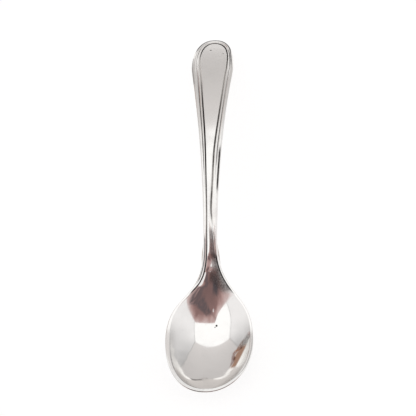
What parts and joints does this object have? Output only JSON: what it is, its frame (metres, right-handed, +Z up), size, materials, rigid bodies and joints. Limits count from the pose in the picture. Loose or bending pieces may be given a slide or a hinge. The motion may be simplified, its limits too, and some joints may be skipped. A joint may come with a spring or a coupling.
{
  "type": "salt spoon",
  "caption": "Small silver salt spoon with an egg-shaped bowl and an arched, thread-bordered handle, used to lift and sprinkle salt at the table.",
  "frame": {"origin": "centre of the spoon's footprint, on the surface it lies on", "axes": "+Y from the bowl's tip to the handle's end, +Z up out of the bowl, +X to the right"},
  "size_m": [0.0166, 0.075, 0.01],
  "materials": {
    "bowl_silver": "polished silver, lightly worn",
    "handle_silver": "polished silver with tarnish in the grooves",
    "solder_silver": "silver hard solder"
  },
  "bodies": {
    "root": {"bowl": "bowl_silver", "handle": "handle_silver", "solder_seam": "solder_silver"}
  },
  "joints": []
}
